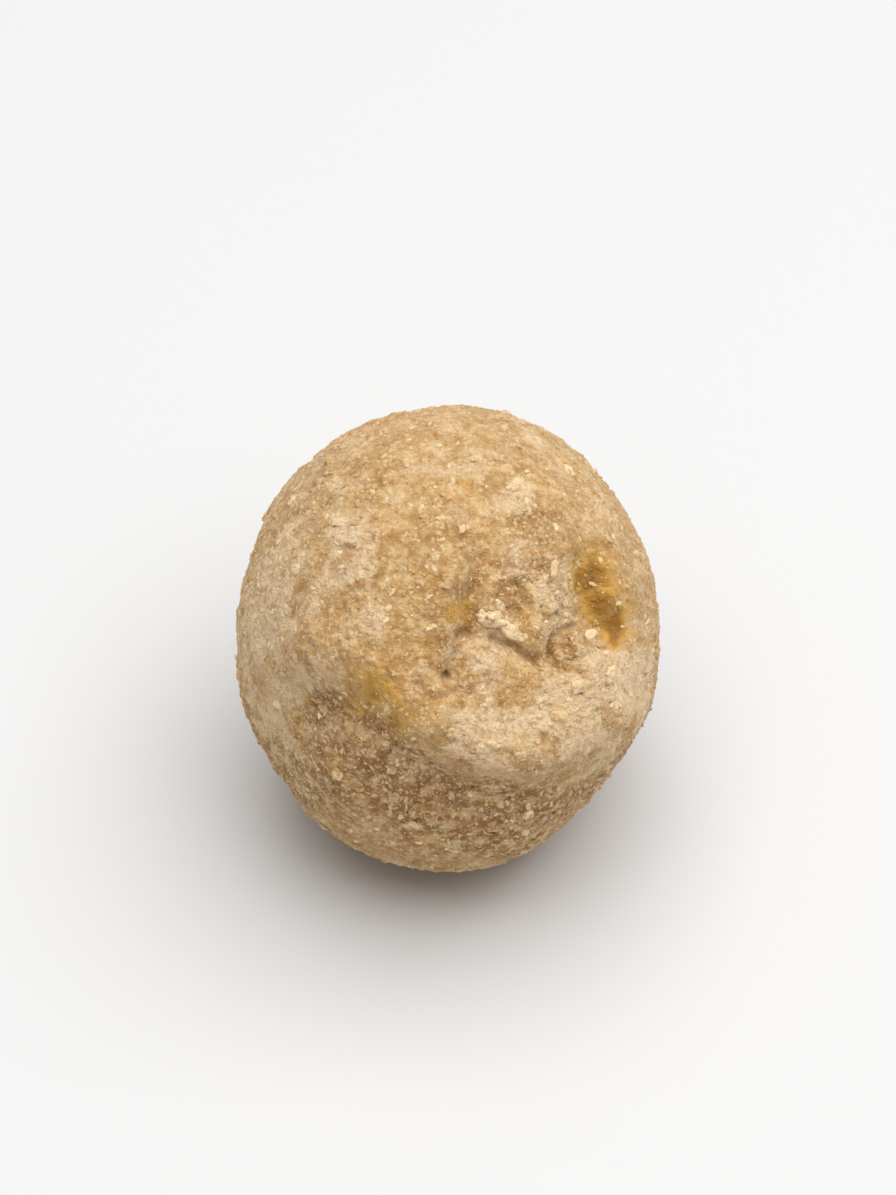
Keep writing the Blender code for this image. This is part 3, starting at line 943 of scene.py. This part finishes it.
def dough_group():
    """The colour of the mixed dough at a place, with painted light and painted shade in it, and the height of its fine
    grain.
    """
    tree, given, out = group(
        "mixed_dough",
        (
            ("Place", "NodeSocketVector", None),
            ("Dry_and_lit", "NodeSocketFloat", 0.3),
            ("Oily", "NodeSocketFloat", 0.0),
            ("Brown_and_shade", "NodeSocketFloat", 0.0),
            ("Crack", "NodeSocketFloat", 0.0),
        ),
        (("Color", "NodeSocketColor"), ("Height", "NodeSocketFloat")),
    )
    place = given["Place"]
    broad = add(tree, "ShaderNodeTexNoise", {"Vector": place, "Scale": 0.16, "Detail": 4.0, "Roughness": 0.6})
    blotch = add(tree, "ShaderNodeTexNoise", {"Vector": place, "Scale": 0.5, "Detail": 7.0, "Roughness": 0.72})
    clump = add(tree, "ShaderNodeTexNoise", {"Vector": place, "Scale": 0.8, "Detail": 2.0, "Roughness": 0.5})
    patch = add(tree, "ShaderNodeTexNoise", {"Vector": place, "Scale": 0.45, "Detail": 2.0, "Roughness": 0.5})
    small = add(tree, "ShaderNodeTexNoise", {"Vector": place, "Scale": 2.6, "Detail": 5.0, "Roughness": 0.65})
    sand = add(tree, "ShaderNodeTexNoise", {"Vector": place, "Scale": 6.0, "Detail": 3.0, "Roughness": 0.6})
    coarse = use_group(tree, PACKED_MEAL, {"Place": place, "Grains per mm": 0.9, "Pale share": 0.3, "Dark share": 0.26})
    fine = use_group(tree, PACKED_MEAL, {"Place": place, "Grains per mm": 2.3, "Pale share": 0.3, "Dark share": 0.26})
    colour = mix_colour(tree, ramp(tree, broad.outputs[0], 0.35, 0.65), TAN, LIGHT_TAN)
    patchy = reckon(tree, "MULTIPLY_ADD", ramp(tree, patch.outputs[0], 0.5, 0.66), -0.5, 1.0)
    # painted shade: the brown share darkens the dough under the lip and in the creases, in patches
    colour = mix_colour(tree, reckon(tree, "MULTIPLY", given["Brown_and_shade"], patchy), colour, DEEP_BROWN_SHADE)
    clumped = reckon(tree, "MULTIPLY_ADD", given["Brown_and_shade"], 0.4, 0.3)
    pale_clump = reckon(tree, "MULTIPLY", ramp(tree, clump.outputs[0], 0.52, 0.66), clumped)
    # dark clumps grow with the brown share, so they deepen the painted shade under the lip
    dark_clump_share = reckon(tree, "MULTIPLY_ADD", given["Brown_and_shade"], 0.6, 0.3)
    dark_clump = reckon(tree, "MULTIPLY", ramp(tree, clump.outputs[0], 0.48, 0.36), dark_clump_share)
    colour = mix_colour(tree, pale_clump, colour, COCONUT)
    colour = mix_colour(tree, dark_clump, colour, mix_colour(tree, given["Brown_and_shade"], BROWN, DEEP_BROWN_SHADE))
    colour = mix_colour(tree, reckon(tree, "MULTIPLY", ramp(tree, blotch.outputs[0], 0.48, 0.66), 0.45), colour, BROWN)
    crumbled = reckon(tree, "MULTIPLY_ADD", given["Brown_and_shade"], 0.36, 0.34)
    colour = mix_colour(tree, reckon(tree, "MULTIPLY", coarse["Dark"], crumbled), colour, BROWN)
    colour = mix_colour(tree, reckon(tree, "MULTIPLY", coarse["Pale"], 0.4), colour, COCONUT)
    colour = mix_colour(tree, reckon(tree, "MULTIPLY", fine["Dark"], 0.45), colour, BROWN)
    speckle = reckon(tree, "MULTIPLY_ADD", given["Brown_and_shade"], 0.3, 0.5)
    colour = mix_colour(tree, reckon(tree, "MULTIPLY", fine["Pale"], speckle), colour, COCONUT)
    light_tone = reckon(tree, "POWER", fine["Tone"], 3.0)
    dark_tone = reckon(tree, "POWER", reckon(tree, "SUBTRACT", 1.0, fine["Tone"]), 3.0)
    colour = mix_colour(tree, reckon(tree, "MULTIPLY", light_tone, 0.3), colour, COCONUT)
    colour = mix_colour(tree, reckon(tree, "MULTIPLY", dark_tone, 0.3), colour, BROWN)
    colour = mix_colour(tree, reckon(tree, "MULTIPLY", ramp(tree, small.outputs[0], 0.45, 0.7), 0.3), colour, BROWN)
    # painted light: the dry share, with its patches on the lip, the edges and the pinch, makes the skin paler, together
    # with the real floury bloom
    dust_and_light = reckon(tree, "ADD", given["Dry_and_lit"], reckon(tree, "MULTIPLY_ADD", blotch.outputs[0], -2.6, 1.2))
    bloom_and_light = reckon(tree, "MULTIPLY", ramp(tree, dust_and_light, 0.2, 0.8), ramp(tree, small.outputs[0], 0.25, 0.6))
    colour = mix_colour(tree, reckon(tree, "MULTIPLY", bloom_and_light, 0.75), colour, FLOURY_AND_LIT)
    soaked = mix_colour(tree, ramp(tree, given["Oily"], 0.55, 1.0), GOLDEN, OCHRE)
    colour = mix_colour(tree, ramp(tree, given["Oily"], 0.0, 0.8), colour, soaked)
    # painted shade: cracks and sunk places are tinted darker
    colour = mix_colour(tree, reckon(tree, "MULTIPLY", given["Crack"], 0.35), colour, CREVICE_SHADE)
    tree.links.new(colour, out["Color"])
    height = reckon(tree, "MULTIPLY_ADD", fine["Height"], 0.9, reckon(tree, "MULTIPLY", sand.outputs[0], 1.0))
    tree.links.new(height, out["Height"])
    return tree


MIXED_DOUGH = dough_group()


def dough_at(tree, place, crack):
    """The group with the shares that the piece's points carry."""
    values = {"Place": place, "Crack": crack}
    for name in TINTING_SHARES:
        values[name.capitalize()] = add(tree, "ShaderNodeAttribute", attribute_name=name).outputs["Fac"]
    return use_group(tree, MIXED_DOUGH, values), values


# %% Dough
def dough_material():
    material, tree, shader = new_material("dough", Subsurface_Weight=0.22, Subsurface_Scale=0.001)
    shader.inputs["Subsurface Radius"].default_value = (1.0, 0.5, 0.22)
    shader.inputs["Specular IOR Level"].default_value = 0.35
    shader.inputs["Sheen Weight"].default_value = 0.35
    shader.inputs["Sheen Roughness"].default_value = 0.5
    shader.inputs["Sheen Tint"].default_value = (1.0, 0.84, 0.62, 1)
    crack = add(tree, "ShaderNodeAttribute", attribute_name="crack").outputs["Fac"]
    mixed, shares = dough_at(tree, place_in_mm(tree), crack)
    tree.links.new(mixed["Color"], shader.inputs["Base Color"])
    tree.links.new(reckon(tree, "MULTIPLY_ADD", shares["Oily"], -0.3, 0.85), shader.inputs["Roughness"])
    bump = add(tree, "ShaderNodeBump", {"Height": mixed["Height"], "Distance": 0.00012, "Strength": 1.0})
    tree.links.new(bump.outputs[0], shader.inputs["Normal"])
    return material


def grain_material(name, first, second, own_share, roughness, subsurface):
    """Small pieces between two colours, each of one shade, and the rest of their colour from the dough there, painted
    light and shade included.
    """
    material, tree, shader = new_material(name, Subsurface_Weight=subsurface, Subsurface_Scale=0.0008)
    shader.inputs["Subsurface Radius"].default_value = (1.0, 0.6, 0.35)
    shader.inputs["Specular IOR Level"].default_value = 0.4
    shader.inputs["Sheen Weight"].default_value = 0.35
    shader.inputs["Sheen Roughness"].default_value = 0.5
    shader.inputs["Sheen Tint"].default_value = (1.0, 0.86, 0.66, 1)
    place = place_in_mm(tree)
    shade = add(tree, "ShaderNodeAttribute", attribute_name="shade").outputs["Fac"]
    mottle = add(tree, "ShaderNodeTexNoise", {"Vector": place, "Scale": 4.0, "Detail": 3.0})
    share = reckon(tree, "MULTIPLY_ADD", shade, 0.75, reckon(tree, "MULTIPLY_ADD", mottle.outputs[0], 0.9, -0.35))
    mixed, shares = dough_at(tree, place, 0.0)
    own = mix_colour(tree, share, first, second)
    showing = reckon(tree, "MULTIPLY_ADD", shade, 0.7, own_share - 0.4)
    showing = reckon(tree, "MULTIPLY_ADD", shares["Brown_and_shade"], 0.15, showing)
    tree.links.new(mix_colour(tree, showing, mixed["Color"], own), shader.inputs["Base Color"])
    tree.links.new(reckon(tree, "MULTIPLY_ADD", mottle.outputs[0], 0.3, roughness - 0.15), shader.inputs["Roughness"])
    bump = add(tree, "ShaderNodeBump", {"Height": mottle.outputs[0], "Distance": 0.00006, "Strength": 0.8})
    tree.links.new(bump.outputs[0], shader.inputs["Normal"])
    return material


dough.data.materials.append(dough_material())
pale_bits = grain_material("coconut_flake", (0.56, 0.36, 0.15, 1), (0.92, 0.74, 0.49, 1), 0.55, 0.75, 0.25)
flakes.data.materials.append(pale_bits)
bits.data.materials.append(pale_bits)
coconut = grain_material("coconut_grain", (0.54, 0.325, 0.13, 1), (0.88, 0.68, 0.41, 1), 0.42, 0.75, 0.25)
grains.data.materials.append(coconut)
tan = grain_material("dough_crumb", (0.38, 0.185, 0.05, 1), (0.68, 0.42, 0.17, 1), 0.4, 0.8, 0.15)
crumbs.data.materials.append(tan)
flour = grain_material("coconut_meal", (0.66, 0.455, 0.23, 1), (0.89, 0.69, 0.43, 1), 0.45, 0.85, 0.1)
meal.data.materials.append(flour)

# %% Tell the frame what each piece is
for piece in (dough, flakes, grains, bits, crumbs, meal):
    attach(piece, "root")
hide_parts("ladoo")

# %% [markdown]
# ## Table and light
#
# The table is plain and nearly white. One large soft box hangs over the ball, a little in front of it and to its
# right, and the white room fills the rest, so the shadow is a soft pool close round the foot.

# %% Table
TABLE_HALF = 1.5
table_mesh = bmesh.new()
bmesh.ops.create_grid(table_mesh, x_segments=1, y_segments=1, size=TABLE_HALF)
table = as_object(table_mesh, "table")
table_material, table_tree, table_shader = new_material("table", Roughness=0.75)
table_shader.inputs["Base Color"].default_value = (0.675, 0.678, 0.682, 1)
table_shader.inputs["Specular IOR Level"].default_value = 0.2
table.data.materials.append(table_material)

# %% Light
SOFT_BOX_SIDE = 1.0
SOFT_BOX_AT = Vector((0.11, -0.02, 0.75))
SOFT_BOX_WATTS = 9.35
ROOM_LIGHT = 0.35

light_data = bpy.data.lights.new("soft_box", "AREA")
light_data.shape = "SQUARE"
light_data.size = SOFT_BOX_SIDE
light_data.energy = SOFT_BOX_WATTS
light = bpy.data.objects.new("soft_box", light_data)
light.location = SOFT_BOX_AT
light.rotation_euler = SOFT_BOX_AT.to_track_quat("Z", "Y").to_euler()
bpy.context.scene.collection.objects.link(light)

world = bpy.data.worlds.new("room")
world.use_nodes = True
world.node_tree.nodes["Background"].inputs[0].default_value = (1.0, 0.975, 0.945, 1)
world.node_tree.nodes["Background"].inputs[1].default_value = ROOM_LIGHT
bpy.context.scene.world = world
bpy.context.scene.view_settings.view_transform = "Standard"
